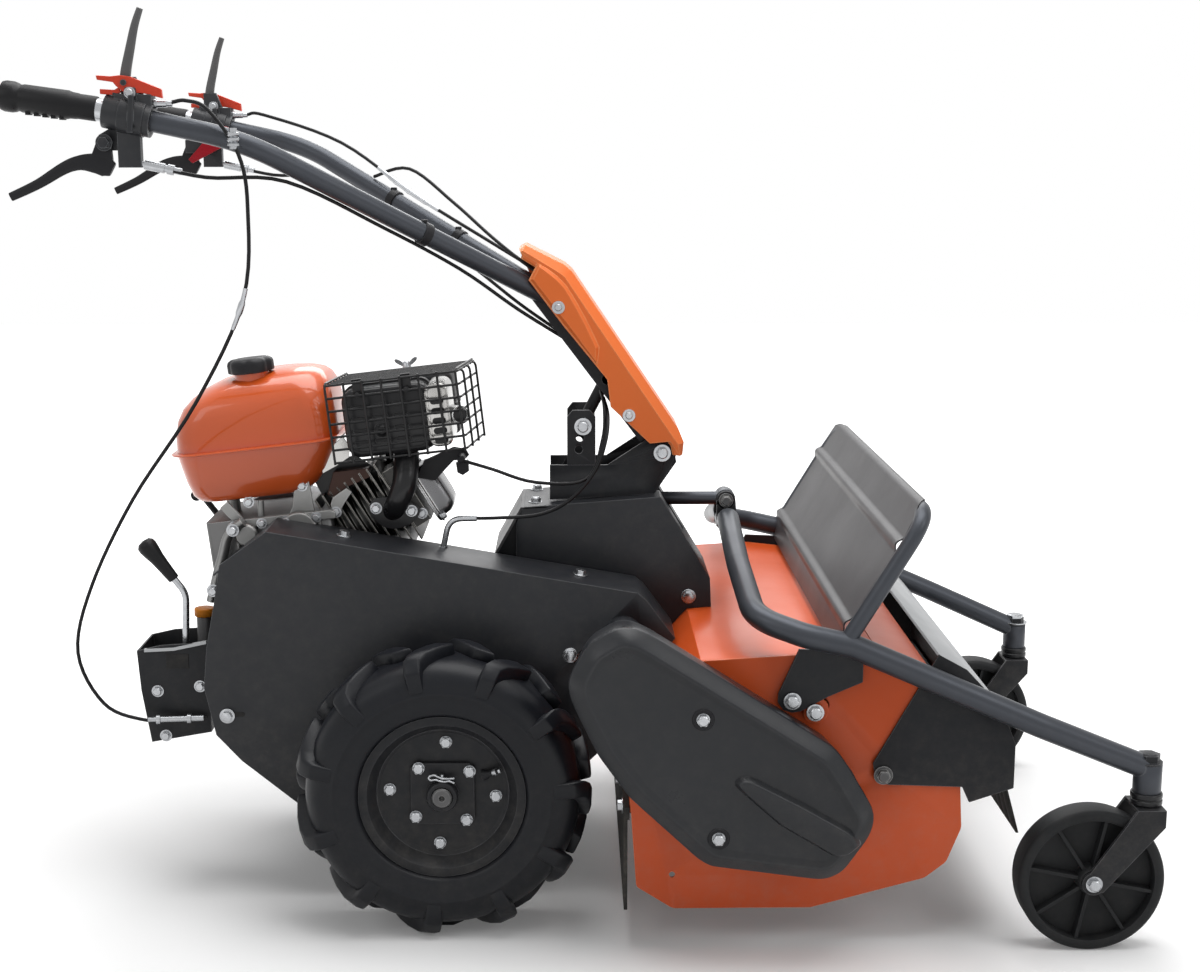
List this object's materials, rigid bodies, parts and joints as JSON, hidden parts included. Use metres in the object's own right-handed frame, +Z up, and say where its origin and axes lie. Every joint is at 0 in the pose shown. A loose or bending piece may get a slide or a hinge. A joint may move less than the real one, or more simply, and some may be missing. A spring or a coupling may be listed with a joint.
{
  "type": "walk-behind flail mower",
  "caption": "Walk-behind flail mower with lugged drive wheels, petrol engine, hammer rotor under a front deck, caster frame and raised handlebar.",
  "frame": {"origin": "middle of the ground rectangle under the machine's bounding box", "axes": "+X forward towards the casters, +Y to the machine's left, +Z up"},
  "size_m": [1.5476, 0.837, 1.2545],
  "materials": {
    "orange_paint": "semi-gloss powder coat",
    "dark_paint": "satin powder coat",
    "black_steel": "satin black paint",
    "cast_alloy": "as cast",
    "cast_case": "painted casting",
    "zinc": "zinc plated",
    "tyre": "moulded rubber",
    "rubber": "matt",
    "black_plastic": "grained",
    "grey_plastic": "satin",
    "red_plastic": "gloss",
    "amber_plastic": "gloss"
  },
  "bodies": {
    "chassis": {"side_plate_right": "dark_paint", "side_plate_left": "dark_paint", "chassis_bed": "dark_paint", "transaxle": "cast_case", "handle_tower": "dark_paint", "handle_bracket": "black_steel", "crankcase": "cast_alloy", "cylinder": "cast_alloy", "valve_cover": "cast_alloy", "fan_shroud": "grey_plastic", "fuel_tank": "orange_paint", "muffler": "black_steel", "muffler_guard": "black_steel", "air_filter": "black_plastic", "shift_console": "black_steel", "belt_cover": "grey_plastic", "drive_belt": "rubber", "jackshaft_tube": "dark_paint", "deck_shell": "orange_paint", "deck_side_right": "orange_paint", "deck_side_left": "orange_paint", "rotor_bearings": "cast_case", "rear_flap": "rubber", "chassis_bolts": "zinc", "control_cables": "rubber"},
    "fuel_cap": {"fuel_cap": "black_plastic"},
    "oil_cap": {"oil_cap": "amber_plastic"},
    "engine_switch": {"engine_switch": "red_plastic"},
    "starter_grip": {"starter_grip": "black_plastic"},
    "shift_lever": {"shift_lever": "zinc"},
    "jack_pulley": {"drive_pulley": "cast_case"},
    "wheel_right": {"tyre_right": "tyre", "rim_right": "black_steel", "hub_right": "black_steel"},
    "wheel_left": {"tyre_left": "tyre", "rim_left": "black_steel", "hub_left": "black_steel"},
    "rotor": {"rotor": "dark_paint"},
    "flail_row_a": {"flails_a": "cast_case"},
    "flail_row_b": {"flails_b": "cast_case"},
    "front_guard": {"front_guard": "dark_paint", "guard_fringe": "rubber"},
    "front_frame": {"front_frame": "dark_paint", "front_panel": "dark_paint"},
    "tie_rod": {"tie_rod": "dark_paint"},
    "caster_right": {"caster_fork_right": "dark_paint"},
    "caster_wheel_right": {"caster_wheel_right": "black_plastic"},
    "caster_left": {"caster_fork_left": "dark_paint"},
    "caster_wheel_left": {"caster_wheel_left": "black_plastic"},
    "handlebar": {"handlebar": "dark_paint", "column_cover": "orange_paint", "handle_grips": "rubber", "control_mounts": "black_plastic"},
    "hand_lever_right": {"hand_lever_right": "black_steel"},
    "hand_lever_left": {"hand_lever_left": "black_steel"},
    "blade_lever_right": {"blade_lever_right": "black_steel"},
    "blade_lever_left": {"blade_lever_left": "black_steel"},
    "latch_right": {"latch_right": "red_plastic"},
    "latch_left": {"latch_left": "red_plastic"},
    "safety_lever": {"safety_lever": "red_plastic"}
  },
  "joints": [
    {"name": "wheel_right_turn", "type": "hinge", "parent": "chassis", "child": "wheel_right", "pos_m": [-0.20923, -0.2565, 0.206], "axis": [0, 1, 0], "continuous": true},
    {"name": "wheel_left_turn", "type": "hinge", "parent": "chassis", "child": "wheel_left", "pos_m": [-0.20923, 0.3075, 0.206], "axis": [0, 1, 0], "continuous": true},
    {"name": "rotor_turn", "type": "hinge", "parent": "chassis", "child": "rotor", "pos_m": [0.28077, 0.0255, 0.22], "axis": [0, 1, 0], "continuous": true},
    {"name": "jack_pulley_turn", "type": "hinge", "parent": "chassis", "child": "jack_pulley", "pos_m": [0.04277, -0.3665, 0.396], "axis": [0, 1, 0], "continuous": true},
    {"name": "flail_row_a_swing", "type": "hinge", "parent": "rotor", "child": "flail_row_a", "pos_m": [0.33977, 0.0255, 0.22], "axis": [0, -1, 0], "range_deg": [0, 95]},
    {"name": "flail_row_b_swing", "type": "hinge", "parent": "rotor", "child": "flail_row_b", "pos_m": [0.22177, 0.0255, 0.22], "axis": [0, 1, 0], "range_deg": [0, 95]},
    {"name": "front_guard_swing", "type": "hinge", "parent": "chassis", "child": "front_guard", "pos_m": [0.38877, 0.0255, 0.246], "axis": [0, -1, 0], "range_deg": [0, 26]},
    {"name": "front_frame_pitch", "type": "hinge", "parent": "chassis", "child": "front_frame", "pos_m": [0.27477, 0.0255, 0.358], "axis": [0, -1, 0], "range_deg": [-5, 5]},
    {"name": "tie_rod_swing", "type": "hinge", "parent": "front_frame", "child": "tie_rod", "pos_m": [0.20177, 0.0255, 0.559], "axis": [0, -1, 0], "range_deg": [-6, 6]},
    {"name": "caster_right_swivel", "type": "hinge", "parent": "front_frame", "child": "caster_right", "pos_m": [0.74777, -0.3315, 0.23], "axis": [0, 0, 1], "continuous": true},
    {"name": "caster_left_swivel", "type": "hinge", "parent": "front_frame", "child": "caster_left", "pos_m": [0.74777, 0.3825, 0.23], "axis": [0, 0, 1], "continuous": true},
    {"name": "caster_wheel_right_turn", "type": "hinge", "parent": "caster_right", "child": "caster_wheel_right", "pos_m": [0.67377, -0.3315, 0.1], "axis": [0, 1, 0], "continuous": true},
    {"name": "caster_wheel_left_turn", "type": "hinge", "parent": "caster_left", "child": "caster_wheel_left", "pos_m": [0.67377, 0.3825, 0.1], "axis": [0, 1, 0], "continuous": true},
    {"name": "handle_lift", "type": "hinge", "parent": "chassis", "child": "handlebar", "pos_m": [0.10377, 0.0255, 0.636], "axis": [0, 1, 0], "range_deg": [0, 20], "deforming": ["control_cables"]},
    {"name": "hand_lever_right_squeeze", "type": "hinge", "parent": "handlebar", "child": "hand_lever_right", "pos_m": [-0.63723, -0.2395, 1.08451], "axis": [0, 1, 0], "range_deg": [0, 16], "stiffness_Nm_per_rad": 4, "springref_deg": -11.46},
    {"name": "hand_lever_left_squeeze", "type": "hinge", "parent": "handlebar", "child": "hand_lever_left", "pos_m": [-0.63723, 0.2905, 1.08451], "axis": [0, 1, 0], "range_deg": [0, 16], "stiffness_Nm_per_rad": 4, "springref_deg": -11.46},
    {"name": "blade_lever_right_press", "type": "hinge", "parent": "handlebar", "child": "blade_lever_right", "pos_m": [-0.60723, -0.2395, 1.16051], "axis": [0, -1, 0], "range_deg": [0, 62], "stiffness_Nm_per_rad": 0.6, "springref_deg": -17.19},
    {"name": "blade_lever_left_press", "type": "hinge", "parent": "handlebar", "child": "blade_lever_left", "pos_m": [-0.60723, 0.2905, 1.16051], "axis": [0, -1, 0], "range_deg": [0, 62], "stiffness_Nm_per_rad": 0.6, "springref_deg": -17.19},
    {"name": "latch_right_press", "type": "hinge", "parent": "handlebar", "child": "latch_right", "pos_m": [-0.60723, -0.2395, 1.16051], "axis": [0, -1, 0], "range_deg": [0, 9], "stiffness_Nm_per_rad": 0.6, "springref_deg": -5.73},
    {"name": "latch_left_press", "type": "hinge", "parent": "handlebar", "child": "latch_left", "pos_m": [-0.60723, 0.2905, 1.16051], "axis": [0, -1, 0], "range_deg": [0, 9], "stiffness_Nm_per_rad": 0.6, "springref_deg": -5.73},
    {"name": "safety_lever_pull", "type": "hinge", "parent": "handlebar", "child": "safety_lever", "pos_m": [-0.58123, 0.2655, 1.10451], "axis": [0, 1, 0], "range_deg": [0, 16], "stiffness_Nm_per_rad": 0.6, "springref_deg": -11.46},
    {"name": "shift_lever_move", "type": "hinge", "parent": "chassis", "child": "shift_lever", "pos_m": [-0.60123, -0.0825, 0.3], "axis": [0, 1, 0], "range_deg": [-7, 7]},
    {"name": "fuel_cap_turn", "type": "hinge", "parent": "chassis", "child": "fuel_cap", "pos_m": [-0.50141, -0.0077, 0.75554], "axis": [-0.1132, 0, 0.9936], "continuous": true},
    {"name": "oil_cap_turn", "type": "hinge", "parent": "chassis", "child": "oil_cap", "pos_m": [-0.57923, -0.0365, 0.394], "axis": [0, 0, 1], "continuous": true},
    {"name": "engine_switch_rock", "type": "hinge", "parent": "chassis", "child": "engine_switch", "pos_m": [-0.57982, 0.1205, 0.50404], "axis": [0, 1, 0], "range_deg": [0, 20]},
    {"name": "starter_pull", "type": "slide", "parent": "chassis", "child": "starter_grip", "axis": [-0.5948, 0, 0.8039], "range_m": [0, 0.04], "stiffness_N_per_m": 60, "springref_m": -0.05}
  ],
  "couplings": [
    {"joint": "jack_pulley_turn", "follows": "rotor_turn", "ratio": 1.1923},
    {"joint": "tie_rod_swing", "follows": "front_frame_pitch", "ratio": -1}
  ]
}
